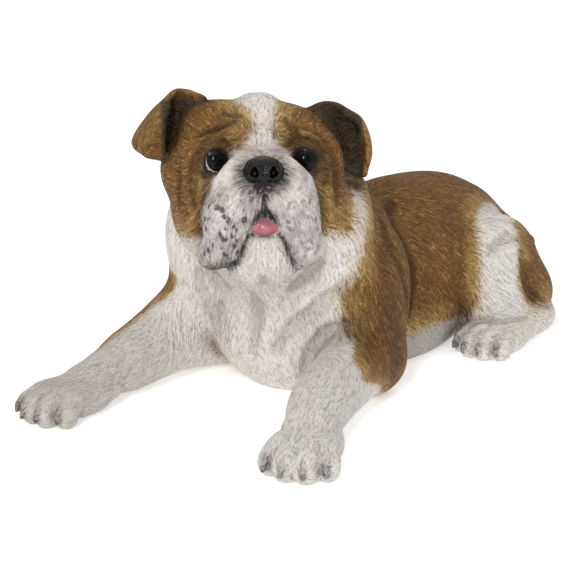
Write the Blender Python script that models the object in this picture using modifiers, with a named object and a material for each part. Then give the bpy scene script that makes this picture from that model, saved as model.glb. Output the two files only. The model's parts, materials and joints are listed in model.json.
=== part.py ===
"""Garden statue of a bulldog puppy, cast in one piece.

The puppy lies on the floor with its forelegs stretched out and its head turned to its left.
Drawing: X to the dog's left, Y to its tail, Z up from the floor, in units of LENGTH / 509.
The masses of the body are ellipsoids and tapering strokes. They are joined by a voxel remesh,
and its points then settle on the surface that blends the same masses softly into each other.
"""
import math

import bmesh
import bpy
import numpy as np
from mathutils import Matrix

LENGTH = 0.480          # from the claws to the rump
UNIT = LENGTH / 509     # one drawing unit
VOXEL = 2.4             # remesh cell, in drawing units
TRIANGLES = 8800        # of the finished solid, before its underside is cut flat
COAT = (0.42, 0.27, 0.14, 1.0)


class Frame:
    """Axes of a body part: left, front and up. Yaw turns its front to the left and pitch lifts it."""

    def __init__(self, origin, axes):
        self.origin = np.array(origin, float)
        self.axes = np.array(axes, float)

    def points(self, rows):
        """Drawing positions of rows of (left, front, up)."""
        return self.origin + np.asarray(rows, float).reshape(-1, 3) @ self.axes.T

    def turned(self, at, yaw=0, pitch=0, roll=0):
        """A frame at a place in this one, rolled about its front, then lifted, then turned."""
        a, b, c = (math.radians(value) for value in (-yaw, pitch, roll))
        turn = np.array([[math.cos(a), -math.sin(a), 0], [math.sin(a), math.cos(a), 0], [0, 0, 1]])
        lift = np.array([[1, 0, 0], [0, math.cos(b), -math.sin(b)], [0, math.sin(b), math.cos(b)]])
        tip = np.array([[math.cos(c), 0, math.sin(c)], [0, 1, 0], [-math.sin(c), 0, math.cos(c)]])
        return Frame(self.points([at])[0], self.axes @ turn @ lift @ tip)


DRAWING = Frame((0, 0, 0), [[1, 0, 0], [0, -1, 0], [0, 0, 1]])
FORE = DRAWING.turned((0, -30, 0), yaw=7.5)
REAR = DRAWING.turned((-4, -215, 0), yaw=-5)
HEAD = DRAWING.turned((12, 48, 170), yaw=42, pitch=8)


def spline(rows, count):
    """Catmull-Rom curve through the rows, any number of columns, at count even steps."""
    rows = np.asarray(rows, float)
    ends = np.vstack([2 * rows[0] - rows[1], rows, 2 * rows[-1] - rows[-2]])
    place = np.linspace(0, len(rows) - 1 - 1e-9, count)
    step = place.astype(int)
    t = (place - step)[:, None]
    a, b, c, d = ends[step], ends[step + 1], ends[step + 2], ends[step + 3]
    return 0.5 * (2 * b + (c - a) * t + (2 * a - 5 * b + 4 * c - d) * t**2 + (3 * b - a - 3 * c + d) * t**3)


def path(rows):
    """A stroke's centres and radii, at steps of about 3 along it."""
    rows = np.asarray(rows, float)
    length = np.linalg.norm(np.diff(rows[:, :3], axis=0), axis=1).sum()
    return spline(rows, int(np.clip(length / 3, 4, 40)))


def blend(a, b, soft):
    """The lower of two distances, rounded over where they differ by less than soft."""
    overlap = np.maximum(soft - np.abs(a - b), 0) / max(soft, 1e-6)
    return np.minimum(a, b) - overlap**2 * soft * 0.25


class Clay:
    """Distance of each point from a form that is built up, and cut into, mass by mass."""

    def __init__(self, points):
        self.points = np.asarray(points, np.float32)
        self.distance = np.full(len(self.points), 60, np.float32)

    def fresh(self):
        return Clay(self.points)

    def near(self, low, high):
        inside = np.all((self.points > low) & (self.points < high), axis=1)
        return np.nonzero(inside)[0]

    def put(self, index, distance, soft, cut):
        side = -1 if cut else 1
        distance = distance.astype(np.float32)
        self.distance[index] = side * blend(side * self.distance[index], distance, soft)

    def lump(self, frame, at, size, soft=8, cut=False, **turn):
        """An ellipsoid: distance is about k(k - 1)/g, k the scaled radius and g its steepness."""
        place = frame.turned(at, **turn)
        size = np.array(size, np.float32)
        reach = size.max() + 26
        index = self.near(place.origin - reach, place.origin + reach)
        local = (self.points[index] - place.origin.astype(np.float32)) @ place.axes.astype(np.float32)
        k = np.linalg.norm(local / size, axis=1)
        g = np.linalg.norm(local / size**2, axis=1)
        self.put(index, k * (k - 1) / np.maximum(g, 1e-6), soft, cut)

    def stroke(self, frame, rows, soft=6, cut=False):
        """A tapering tube along a curve: least distance to its segments, less the radius there."""
        rows = path(rows)
        centres = frame.points(rows[:, :3]).astype(np.float32)
        radii = rows[:, 3]
        reach = radii.max() + 26
        index = self.near(centres.min(0) - reach, centres.max(0) + reach)
        points = self.points[index]
        least = np.full(len(index), 1e3, np.float32)
        for step in range(len(rows) - 1):
            along = centres[step + 1] - centres[step]
            t = np.clip((points - centres[step]) @ along / max(float(along @ along), 1e-9), 0, 1)
            gap = np.linalg.norm(points - centres[step] - t[:, None] * along, axis=1)
            least = np.minimum(least, gap - radii[step] - (radii[step + 1] - radii[step]) * t)
        self.put(index, least, soft, cut)

    def sheet(self, frame, net, radius, soft=3):
        """A thin curved sheet: distance to the nearest of its close-set points, less the radius."""
        centres = frame.points(surface(net, 44)).astype(np.float32)
        index = self.near(centres.min(0) - radius - 12, centres.max(0) + radius + 12)
        least = np.empty(len(index), np.float32)
        for start in range(0, len(index), 4000):
            points = self.points[index[start:start + 4000]]
            square = (points**2).sum(1)[:, None] + (centres**2).sum(1) - 2 * points @ centres.T
            least[start:start + 4000] = np.sqrt(np.maximum(square.min(1), 0)) - radius
        self.put(index, least, soft, False)

    def take(self, other, soft):
        self.distance = blend(self.distance, other.distance, soft)


def surface(net, count):
    """Points of a sheet splined through a net of control points, first along rows, then across."""
    rows = np.stack([spline(row, count) for row in net])
    return np.concatenate([spline(rows[:, step], count) for step in range(count)])


def paw(clay, frame, size):
    """Palm, four toes and their claws; the frame is on the floor under the palm."""
    clay.lump(frame, (0, -10 * size, 13 * size), (23 * size, 28 * size, 15 * size), 12)
    toes = ((-18, 10, 9.3, -12), (-6.5, 17, 10, -3), (6.5, 17, 10, 3), (18, 10, 9.3, 12))
    for left, front, radius, yaw in toes:
        toe = frame.turned((left * size, front * size, 0), yaw=yaw)
        knuckles = ((-24, 19, 0.65), (-6, 17.5, 0.85), (6, 11, 0.95), (6, 8, 0.9))
        clay.stroke(toe, [(0, f * size, u * size, r * radius * size) for f, u, r in knuckles], 3)
        claw = ((10, 18, 2.3), (15.5, 13, 2.6), (17.5, 7, 1.6))
        clay.stroke(toe, [(0, f * size, u * size, r * size) for f, u, r in claw], 2)


def torso(clay):
    """Ribs, loin, hips and rump along the curved back, belly on the floor, chest and neck."""
    clay.lump(FORE, (0, -15, 72), (62, 78, 65), 0)
    clay.lump(DRAWING, (-2, -130, 71), (61, 90, 66), 20)
    clay.lump(REAR, (2, 12, 60), (62, 64, 59), 24)
    clay.lump(REAR, (9, -48, 46), (54, 46, 45), 20)
    clay.lump(DRAWING, (-2, -122, 26), (60, 122, 40), 16)
    clay.lump(FORE, (-2, 26, 52), (66, 50, 58), 20)
    clay.stroke(FORE, [(0, -10, 98, 52), (1, 30, 116, 56), (2, 56, 130, 54), (4, 66, 145, 46)], 24)
    clay.lump(REAR, (18, -92, 66), (10, 9, 9), 6)


def right_arm(clay):
    """Shoulder and an arm that reaches straight forward."""
    clay.lump(FORE, (-60, 34, 108), (36, 38, 54), 16)
    clay.lump(FORE, (-60, 8, 72), (28, 44, 54), 14)
    clay.stroke(FORE, [(-60, 22, 74, 31), (-83, 58, 45, 25), (-95, 104, 26, 20), (-98, 150, 17, 17)], 16)
    clay.stroke(FORE, [(-66, 4, 24, 24), (-83, 50, 26, 22), (-95, 104, 22, 19)], 14)
    paw(clay, FORE.turned((-100, 178, 0), yaw=-10), 0.98)
    clay.lump(FORE, (-83, 144, 14), (6, 7, 7), 3)


def left_arm(clay):
    """Shoulder, upper arm down to the elbow, and the forearm on the floor."""
    clay.lump(FORE, (44, 34, 104), (28, 38, 50), 16)
    clay.lump(FORE, (54, 8, 74), (28, 42, 54), 14)
    clay.stroke(FORE, [(56, 26, 82, 28), (58, 16, 24, 23)], 14)
    clay.stroke(FORE, [(60, 8, 22, 21), (66, 56, 27, 24), (78, 116, 23, 20.5), (88, 152, 17, 17.5)], 12)
    paw(clay, FORE.turned((99, 180, 0), yaw=14), 0.98)
    clay.lump(FORE, (71, 150, 14), (6, 7, 7), 3)


def collar(clay):
    """The roll of loose skin that stands round the neck from behind the ears to the chest."""
    rows = ((8, -14, 152, 6), (28, -2, 156, 8), (44, 14, 154, 9), (55, 32, 143, 10.5), (60, 43, 127, 11.5),
            (60, 50, 112, 11.5), (56, 57, 98, 10.5), (48, 63, 86, 9), (36, 66, 74, 6), (24, 66, 62, 4))
    clay.stroke(FORE, rows, 9)
    rows = ((-10, -10, 152, 6), (-32, 4, 154, 8), (-52, 20, 148, 10), (-66, 36, 136, 12), (-72, 48, 118, 13),
            (-69, 56, 100, 12), (-58, 60, 82, 9), (-46, 62, 66, 6))
    clay.stroke(FORE, rows, 10)


def hind_leg(clay, side):
    """Thigh and knee folded beside the belly, hock, and the long foot flat on the floor."""
    clay.lump(REAR, (side * 54 + 2, -4, 52), (33, 56, 51), 7)
    clay.lump(REAR, (side * 60 + 2, -30, 30), (29, 34, 30), 14)
    clay.lump(REAR, (side * 70 + 2, 14, 26), (24, 34, 27), 10)
    clay.stroke(REAR, [(side * 86, -26, 16, 15.5), (side * 91, 5, 15, 15), (side * 92, 36, 14, 15)], 7)
    paw(clay, REAR.turned((side * 93, 46, 0), yaw=side * 2), 0.93)


def skull(clay):
    """Broad flat crown with a furrow, brows, cheeks and jaw."""
    clay.lump(HEAD, (0, -12, 8), (52, 52, 45), 0)
    clay.lump(HEAD, (-31, -9, 25), (26, 36, 27), 10)
    clay.lump(HEAD, (28, -7, 20), (25, 36, 26), 10)
    for side in (-1, 1):
        clay.lump(HEAD, (side * 8, 2, 31), (13, 27, 26.5), 6)
        clay.lump(HEAD, (side * 15, 20, 23), (15, 18, 18), 7)
        clay.lump(HEAD, (side * 38, 11, 14), (20, 23.5, 21), 7)
        clay.lump(HEAD, (side * 40, -2, -18), (22.5, 35, 38), 14)
    clay.lump(HEAD, (-58, -6, 3), (11, 18, 18), 8)
    clay.lump(HEAD, (0, -2, -40), (48, 38, 34), 14)
    clay.lump(HEAD, (0, 10, -10), (40, 28, 32), 10)
    furrow = [(0, 42, 20, 1.5), (0, 42, 32, 2), (0, 34, 49, 2.2), (0, 16, 58, 2.2), (0, -12, 59, 1)]
    clay.stroke(HEAD, furrow, 6, True)


def muzzle_pads(clay):
    """Domed top of the muzzle, two broad pads and the lips that hang from them."""
    clay.lump(HEAD, (1.5, 40.5, -12.5), (36, 22, 31), 0)
    clay.lump(HEAD, (-18, 44, -20), (19.5, 20.5, 19), 8)
    clay.lump(HEAD, (19, 44, -20), (19, 20.5, 19), 8)
    clay.lump(HEAD, (-27, 42, -38), (15, 20.5, 23), 8, roll=-14)
    clay.lump(HEAD, (27, 41, -39), (13.5, 19.5, 23.5), 8, roll=4)
    clay.lump(HEAD, (-33, 37, -53), (11.5, 16.5, 11), 6)


def muzzle(clay):
    """The pads, with the groove under the nose, the mouth, chin and tongue between the lips."""
    pads = clay.fresh()
    muzzle_pads(pads)
    pads.stroke(HEAD, [(0.5, 68, -6, 1.5), (0.5, 67.5, -26, 2)], 4, True)
    pads.stroke(HEAD, [(0.6, 69, -26, 1.4), (1, 65, -31, 4), (1.2, 61, -40, 8.5), (-1, 56, -54, 13)], 3, True)
    clay.take(pads, 1.5)
    clay.lump(HEAD, (1, 35.5, -56), (27, 22, 20), 2)
    clay.lump(HEAD, (1, 46, -47), (16, 11, 8), 5)
    clay.lump(HEAD, (1.5, 46.5, -33.5), (12.5, 14, 7.5), 1, pitch=-22)


def nose(clay):
    """Nose pad with a wing each side of its column, and two comma-shaped nostrils."""
    clay.lump(HEAD, (0.8, 54, 8), (12.5, 11, 7), 3)
    clay.lump(HEAD, (0.8, 58, 1), (5.5, 8, 9), 3)
    for side in (-1, 1):
        clay.lump(HEAD, (side * 8 + 0.8, 56, 2.5), (6.8, 9.5, 8), 2)
        clay.stroke(HEAD, [(side * 6.6 + 0.8, 70, 3.5, 2.6), (side * 7.2 + 0.8, 60, 3.5, 2.4)], 1, True)
        tail = ((7.5, 67, 1.5, 1.4), (10.5, 65, -0.5, 1.2), (14.5, 62, 0.5, 0.8))
        clay.stroke(HEAD, [(side * a + 0.8, f, u, r) for a, f, u, r in tail], 1, True)


def rim(start, end, radius, front, tube, side):
    """Rows of an eyelid: an arc about the eyeball that drops back towards its corners."""
    angles = np.radians(np.linspace(start, end, 9))
    back = front - 0.4 * np.abs(angles - math.pi / 2)
    return np.stack([side * radius * np.cos(angles), back, radius * np.sin(angles), tube + 0 * angles], 1)


def eye(clay, side):
    """Socket, eyeball, two lids and the brow over them, higher at its inner end."""
    place = HEAD.turned((side * 31.2, 29, 10.5), yaw=-side * 10)
    clay.lump(place, (0, 12, 0), (11, 10, 10.5), 4, True)
    clay.lump(place, (0, 0, 0), (9.8, 9.8, 9.8), 0.3)
    clay.stroke(place, rim(-12, 192, 9.2, 4.4, 1.5, side), 1.5)
    clay.stroke(place, rim(-190, 10, 9.0, 3.6, 1.2, side), 1.5)
    brow = ((13, 37, 32, 3), (22, 38, 29, 3), (33, 35, 26, 3), (43, 28, 18, 3), (48, 21, 4, 2.5))
    clay.stroke(HEAD, [(side * a, f, u, r) for a, f, u, r in brow], 8)


RIGHT_EAR = (
    ((-38, -2, 53), (-48, -10, 57), (-57, -9, 57.5), (-63, -4, 52), (-63, 1, 48)),
    ((-44, -2, 44), (-54, -16, 46), (-66, -16, 45), (-75, -9, 41), (-65, 4, 42)),
    ((-48, -2, 30), (-59, -16, 30), (-74, -14, 28), (-87, -7, 24), (-67, 6, 28)),
    ((-54, 0, 16), (-61, -10, 15), (-70, -9, 14), (-78, -3, 14), (-67, 7, 12)),
)
LEFT_EAR = (
    ((37, -2, 44), (46, -8, 47.5), (55, -10, 47.5), (62, -9, 44), (63, -4, 41.5)),
    ((46, 0, 34), (56, -16, 35.5), (66, -18, 36.5), (74, -12, 35.5), (73, -3, 34.5)),
    ((55, 0, 19), (63, -16, 19), (73, -17, 18), (80, -11, 16), (78, -2, 17)),
    ((62, -3, 4), (67, -8, 1), (72, -9, -2), (76, -8, -2), (76, -4, -1)),
)
EAR_HALF = 2.5


def statue(clay):
    """The whole dog, in the order its masses are blended."""
    torso(clay)
    right_arm(clay)
    left_arm(clay)
    collar(clay)
    for side in (-1, 1):
        hind_leg(clay, side)
    top = clay.fresh()
    skull(top)
    muzzle(top)
    nose(top)
    for side in (-1, 1):
        eye(top, side)
    clay.take(top, 10)
    clay.sheet(HEAD, RIGHT_EAR, EAR_HALF)
    clay.sheet(HEAD, LEFT_EAR, EAR_HALF)


class Cage:
    """The same masses as overlapping spheres in one mesh; cuts are left to the settling."""

    def __init__(self):
        self.points = []
        self.faces = []
        self.count = 0
        self.balls = {steps: self.unit_ball(steps) for steps in (5, 8, 14)}

    def unit_ball(self, steps):
        """Points and faces of a sphere primitive of radius 1."""
        work = bmesh.new()
        bmesh.ops.create_uvsphere(work, u_segments=2 * steps, v_segments=steps, radius=1)
        bmesh.ops.triangulate(work, faces=work.faces[:])
        work.verts.index_update()
        points = np.array([vertex.co[:] for vertex in work.verts])
        faces = np.array([[vertex.index for vertex in face.verts] for face in work.faces])
        work.free()
        return points, faces

    def fresh(self):
        return self

    def take(self, other, soft):
        """The parts of the form already share this mesh."""

    def ball(self, centre, axes, size, steps):
        """One sphere, stretched to the size along the axes and moved to the centre."""
        points, faces = self.balls[steps]
        self.points.append(centre + (points * np.array(size)) @ axes.T)
        self.faces.append(faces if np.linalg.det(axes) > 0 else faces[:, ::-1])
        self.faces[-1] = self.faces[-1] + self.count
        self.count += len(points)

    def lump(self, frame, at, size, soft=8, cut=False, **turn):
        if not cut:
            place = frame.turned(at, **turn)
            self.ball(place.origin, place.axes, size, 14)

    def stroke(self, frame, rows, soft=6, cut=False):
        if cut:
            return
        rows = path(rows)
        for centre, radius in zip(frame.points(rows[:, :3]), rows[:, 3]):
            self.ball(centre, frame.axes, (radius, radius, radius), 8)

    def sheet(self, frame, net, radius, soft=3):
        for centre in frame.points(surface(net, 22)):
            self.ball(centre, frame.axes, (radius, radius, radius), 5)

    def mesh(self, name):
        mesh = bpy.data.meshes.new(name)
        mesh.from_pydata(np.concatenate(self.points), [], np.concatenate(self.faces))
        return mesh


def distance(points):
    """Distance of each point from the blended statue, less than zero inside it."""
    clay = Clay(points)
    statue(clay)
    return clay.distance


def settle(mesh, rounds=5):
    """Move the mesh's points down the slope of the distance until they lie on the surface."""
    points = np.empty(3 * len(mesh.vertices), np.float32)
    mesh.vertices.foreach_get("co", points)
    points = points.reshape(-1, 3)
    step = 0.4
    for _ in range(rounds):
        here = distance(points)
        ahead = [distance(points + step * axis) - here for axis in np.eye(3, dtype=np.float32)]
        slope = np.stack(ahead, 1) / step
        move = here[:, None] * slope / np.maximum((slope**2).sum(1), 0.25)[:, None]
        points = points - np.clip(move, -4, 4)
    mesh.vertices.foreach_set("co", points.ravel())
    mesh.update()


def applied(thing):
    """Replace an object's mesh by its mesh with the modifiers applied."""
    graph = bpy.context.evaluated_depsgraph_get()
    mesh = bpy.data.meshes.new_from_object(thing.evaluated_get(graph))
    thing.modifiers.clear()
    thing.data = mesh
    return mesh


def flat_underside(mesh):
    """Cut the mesh at the floor and close it with a flat face."""
    work = bmesh.new()
    work.from_mesh(mesh)
    everything = work.verts[:] + work.edges[:] + work.faces[:]
    floor = {"plane_co": (0, 0, 0), "plane_no": (0, 0, 1), "clear_inner": True}
    cut = bmesh.ops.bisect_plane(work, geom=everything, dist=0.4, **floor)
    for item in cut["geom_cut"]:
        if isinstance(item, bmesh.types.BMVert):
            item.co.z = 0
    border = [edge for edge in work.edges if edge.is_boundary]
    bmesh.ops.triangle_fill(work, edges=border, use_beauty=True, use_dissolve=False)
    bmesh.ops.dissolve_degenerate(work, dist=0.05, edges=work.edges)
    bmesh.ops.triangulate(work, faces=work.faces[:])
    bmesh.ops.recalc_face_normals(work, faces=work.faces)
    work.to_mesh(mesh)
    work.free()


def painted_resin():
    material = bpy.data.materials.new("painted resin")
    material.use_nodes = True
    surface_node = material.node_tree.nodes["Principled BSDF"]
    surface_node.inputs["Base Color"].default_value = COAT
    surface_node.inputs["Roughness"].default_value = 0.6
    surface_node.inputs["Metallic"].default_value = 0.0
    return material


for thing in list(bpy.data.objects):
    bpy.data.objects.remove(thing)

collection = bpy.data.collections.new("bulldog garden statue")
bpy.context.scene.collection.children.link(collection)

cage = Cage()
statue(cage)
dog = bpy.data.objects.new("bulldog", cage.mesh("bulldog"))
collection.objects.link(dog)

remesh = dog.modifiers.new("one skin", "REMESH")
remesh.mode = "VOXEL"
remesh.voxel_size = VOXEL
settle(applied(dog))

decimate = dog.modifiers.new("facets", "DECIMATE")
decimate.ratio = TRIANGLES / (2 * len(dog.data.polygons))
flat_underside(applied(dog))

low = np.min([vertex.co for vertex in dog.data.vertices], axis=0)
high = np.max([vertex.co for vertex in dog.data.vertices], axis=0)
to_centre = Matrix.Translation((-(low[0] + high[0]) / 2, -(low[1] + high[1]) / 2, 0))
dog.data.transform(Matrix.Scale(UNIT, 4) @ to_centre)
dog.data.shade_smooth()
dog.data.materials.append(painted_resin())
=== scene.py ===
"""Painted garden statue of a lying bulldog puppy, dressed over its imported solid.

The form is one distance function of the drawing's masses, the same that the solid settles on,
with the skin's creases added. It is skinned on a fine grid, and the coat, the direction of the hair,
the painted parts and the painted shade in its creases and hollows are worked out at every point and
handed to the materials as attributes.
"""
import json
import math

import bpy
import numpy as np
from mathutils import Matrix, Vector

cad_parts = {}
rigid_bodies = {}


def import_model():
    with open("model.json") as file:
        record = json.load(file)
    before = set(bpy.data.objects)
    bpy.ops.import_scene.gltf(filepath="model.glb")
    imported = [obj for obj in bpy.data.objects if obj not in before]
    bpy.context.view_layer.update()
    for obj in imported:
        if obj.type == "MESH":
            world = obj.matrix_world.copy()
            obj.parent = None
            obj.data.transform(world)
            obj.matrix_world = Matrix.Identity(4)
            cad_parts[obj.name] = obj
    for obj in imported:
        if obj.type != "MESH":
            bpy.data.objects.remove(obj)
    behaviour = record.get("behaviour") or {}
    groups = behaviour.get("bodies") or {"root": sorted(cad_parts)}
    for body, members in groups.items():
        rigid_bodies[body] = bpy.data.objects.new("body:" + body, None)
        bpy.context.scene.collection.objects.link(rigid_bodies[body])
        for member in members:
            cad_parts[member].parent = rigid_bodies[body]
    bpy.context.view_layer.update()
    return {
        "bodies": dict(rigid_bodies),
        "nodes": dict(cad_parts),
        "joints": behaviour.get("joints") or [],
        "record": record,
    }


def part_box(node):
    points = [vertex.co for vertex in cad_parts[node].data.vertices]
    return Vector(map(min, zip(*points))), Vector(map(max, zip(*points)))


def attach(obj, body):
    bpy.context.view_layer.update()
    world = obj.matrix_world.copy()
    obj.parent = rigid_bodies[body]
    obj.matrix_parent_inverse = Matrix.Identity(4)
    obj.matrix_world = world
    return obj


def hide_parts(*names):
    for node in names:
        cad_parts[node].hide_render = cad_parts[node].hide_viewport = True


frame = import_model()

LENGTH = 0.480          # from the claws to the rump
UNIT = LENGTH / 509     # one drawing unit
CELL = 2.1              # grid cell of the skin, in drawing units
EYE_RADIUS = 9.9        # glossy eyeball, in drawing units
FLOOR_HALF = 9          # half the floor's side, in metres


class Frame:
    """Axes of a body part: left, front and up. Yaw turns its front to the left and pitch lifts it."""

    def __init__(self, origin, axes):
        self.origin = np.array(origin, float)
        self.axes = np.array(axes, float)

    def points(self, rows):
        """Drawing positions of rows of (left, front, up)."""
        return self.origin + np.asarray(rows, float).reshape(-1, 3) @ self.axes.T

    def turned(self, at, yaw=0, pitch=0, roll=0):
        """A frame at a place in this one, rolled about its front, then lifted, then turned."""
        a, b, c = (math.radians(value) for value in (-yaw, pitch, roll))
        turn = np.array([[math.cos(a), -math.sin(a), 0], [math.sin(a), math.cos(a), 0], [0, 0, 1]])
        lift = np.array([[1, 0, 0], [0, math.cos(b), -math.sin(b)], [0, math.sin(b), math.cos(b)]])
        tip = np.array([[math.cos(c), 0, math.sin(c)], [0, 1, 0], [-math.sin(c), 0, math.cos(c)]])
        return Frame(self.points([at])[0], self.axes @ turn @ lift @ tip)


DRAWING = Frame((0, 0, 0), [[1, 0, 0], [0, -1, 0], [0, 0, 1]])
FORE = DRAWING.turned((0, -30, 0), yaw=7.5)
REAR = DRAWING.turned((-4, -215, 0), yaw=-5)
HEAD = DRAWING.turned((12, 48, 170), yaw=42, pitch=8)


def spline(rows, count):
    """Catmull-Rom curve through the rows, any number of columns, at count even steps."""
    rows = np.asarray(rows, float)
    ends = np.vstack([2 * rows[0] - rows[1], rows, 2 * rows[-1] - rows[-2]])
    place = np.linspace(0, len(rows) - 1 - 1e-9, count)
    step = place.astype(int)
    t = (place - step)[:, None]
    a, b, c, d = ends[step], ends[step + 1], ends[step + 2], ends[step + 3]
    return 0.5 * (2 * b + (c - a) * t + (2 * a - 5 * b + 4 * c - d) * t**2 + (3 * b - a - 3 * c + d) * t**3)


def path(rows):
    """A stroke's centres and radii, at steps of about 3 along it."""
    rows = np.asarray(rows, float)
    length = np.linalg.norm(np.diff(rows[:, :3], axis=0), axis=1).sum()
    return spline(rows, int(np.clip(length / 3, 4, 40)))


def blend(a, b, soft):
    """The lower of two distances, rounded over where they differ by less than soft."""
    overlap = np.maximum(soft - np.abs(a - b), 0) / max(soft, 1e-6)
    return np.minimum(a, b) - overlap**2 * soft * 0.25


class Clay:
    """Distance of each point from a form that is built up, and cut into, mass by mass."""

    def __init__(self, points):
        self.points = np.asarray(points, np.float32)
        self.distance = np.full(len(self.points), 60, np.float32)

    def fresh(self):
        return Clay(self.points)

    def near(self, low, high):
        inside = np.all((self.points > low) & (self.points < high), axis=1)
        return np.nonzero(inside)[0]

    def put(self, index, distance, soft, cut):
        side = -1 if cut else 1
        distance = distance.astype(np.float32)
        self.distance[index] = side * blend(side * self.distance[index], distance, soft)

    def lump(self, frame, at, size, soft=8, cut=False, **turn):
        """An ellipsoid: distance is about k(k - 1)/g, k the scaled radius and g its steepness."""
        place = frame.turned(at, **turn)
        size = np.array(size, np.float32)
        reach = size.max() + 26
        index = self.near(place.origin - reach, place.origin + reach)
        local = (self.points[index] - place.origin.astype(np.float32)) @ place.axes.astype(np.float32)
        k = np.linalg.norm(local / size, axis=1)
        g = np.linalg.norm(local / size**2, axis=1)
        self.put(index, k * (k - 1) / np.maximum(g, 1e-6), soft, cut)

    def stroke(self, frame, rows, soft=6, cut=False):
        """A tapering tube along a curve: least distance to its segments, less the radius there."""
        rows = path(rows)
        centres = frame.points(rows[:, :3]).astype(np.float32)
        radii = rows[:, 3]
        reach = radii.max() + 26
        index = self.near(centres.min(0) - reach, centres.max(0) + reach)
        points = self.points[index]
        least = np.full(len(index), 1e3, np.float32)
        for step in range(len(rows) - 1):
            along = centres[step + 1] - centres[step]
            t = np.clip((points - centres[step]) @ along / max(float(along @ along), 1e-9), 0, 1)
            gap = np.linalg.norm(points - centres[step] - t[:, None] * along, axis=1)
            least = np.minimum(least, gap - radii[step] - (radii[step + 1] - radii[step]) * t)
        self.put(index, least, soft, cut)

    def sheet(self, frame, net, radius, soft=3):
        """A thin curved sheet: distance to the nearest of its close-set points, less the radius."""
        centres = frame.points(surface(net, 44)).astype(np.float32)
        index = self.near(centres.min(0) - radius - 12, centres.max(0) + radius + 12)
        least = np.empty(len(index), np.float32)
        for start in range(0, len(index), 4000):
            points = self.points[index[start:start + 4000]]
            square = (points**2).sum(1)[:, None] + (centres**2).sum(1) - 2 * points @ centres.T
            least[start:start + 4000] = np.sqrt(np.maximum(square.min(1), 0)) - radius
        self.put(index, least, soft, False)

    def take(self, other, soft):
        self.distance = blend(self.distance, other.distance, soft)


def surface(net, count):
    """Points of a sheet splined through a net of control points, first along rows, then across."""
    rows = np.stack([spline(row, count) for row in net])
    return np.concatenate([spline(rows[:, step], count) for step in range(count)])


def paw(clay, frame, size):
    """Palm, four toes and their claws; the frame is on the floor under the palm."""
    clay.lump(frame, (0, -10 * size, 13 * size), (23 * size, 28 * size, 15 * size), 12)
    toes = ((-18, 10, 9.3, -12), (-6.5, 17, 10, -3), (6.5, 17, 10, 3), (18, 10, 9.3, 12))
    for left, front, radius, yaw in toes:
        toe = frame.turned((left * size, front * size, 0), yaw=yaw)
        knuckles = ((-24, 19, 0.65), (-6, 17.5, 0.85), (6, 11, 0.95), (6, 8, 0.9))
        clay.stroke(toe, [(0, f * size, u * size, r * radius * size) for f, u, r in knuckles], 3)
        claw = ((10, 18, 2.3), (15.5, 13, 2.6), (17.5, 7, 1.6))
        clay.stroke(toe, [(0, f * size, u * size, r * size) for f, u, r in claw], 2)


def torso(clay):
    """Ribs, loin, hips and rump along the curved back, belly on the floor, chest and neck."""
    clay.lump(FORE, (0, -15, 72), (62, 78, 65), 0)
    clay.lump(DRAWING, (-2, -137, 69.5), (61, 90, 63.5), 20)
    clay.lump(REAR, (2, 12, 60), (62, 64, 59), 24)
    clay.lump(REAR, (9, -48, 46), (54, 46, 45), 20)
    clay.lump(DRAWING, (-2, -122, 26), (60, 122, 40), 16)
    clay.stroke(DRAWING, [(-2, -140, 94, 38), (-3, -175, 94, 39), (-4, -208, 88, 41), (-5, -240, 78, 40)], 16)
    clay.lump(FORE, (-2, 26, 52), (66, 50, 58), 20)
    clay.stroke(FORE, [(0, -10, 98, 52), (1, 30, 116, 56), (2, 56, 130, 54), (4, 66, 145, 46)], 24)
    clay.lump(REAR, (27, -91, 57), (9, 9, 8), 5)


def right_arm(clay):
    """Shoulder and an arm that reaches straight forward."""
    clay.lump(FORE, (-66, 34, 108), (36, 38, 54), 16)
    clay.lump(FORE, (-60, 8, 72), (28, 44, 54), 14)
    clay.stroke(FORE, [(-60, 22, 74, 31), (-83, 58, 45, 25), (-95, 104, 26, 20), (-98, 150, 17, 17)], 16)
    clay.stroke(FORE, [(-66, 4, 24, 24), (-83, 50, 26, 22), (-95, 104, 22, 19)], 14)
    paw(clay, FORE.turned((-100, 178, 0), yaw=-10), 0.98)
    clay.lump(FORE, (-83, 144, 14), (6, 7, 7), 3)


def left_arm(clay):
    """Shoulder, upper arm down to the elbow, and the forearm on the floor."""
    clay.lump(FORE, (44, 34, 104), (28, 38, 50), 16)
    clay.lump(FORE, (54, 8, 74), (28, 42, 54), 14)
    clay.stroke(FORE, [(56, 26, 82, 28), (58, 16, 24, 23)], 20)
    clay.stroke(FORE, [(60, 8, 22, 21), (66, 56, 27, 24), (76, 116, 24, 22.5), (87, 152, 17, 18.5)], 17)
    paw(clay, FORE.turned((99, 180, 0), yaw=14), 0.98)
    clay.lump(FORE, (71, 150, 14), (6, 7, 7), 3)


def collar(clay):
    """The roll of loose skin that stands round the neck from behind the ears to the chest."""
    rows = ((8, -14, 152, 6), (28, -2, 156, 8), (44, 14, 154, 9), (55, 32, 143, 10.5), (60, 43, 127, 11.5),
            (60, 50, 112, 11.5), (56, 57, 98, 10.5), (48, 63, 86, 9), (36, 66, 74, 6), (24, 66, 62, 4))
    clay.stroke(FORE, rows, 9)
    rows = ((-10, -10, 152, 6), (-32, 4, 154, 8), (-52, 20, 148, 10), (-66, 36, 136, 12), (-74, 48, 118, 13),
            (-69, 56, 100, 12), (-58, 60, 82, 9), (-46, 62, 66, 6))
    clay.stroke(FORE, rows, 10)


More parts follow.
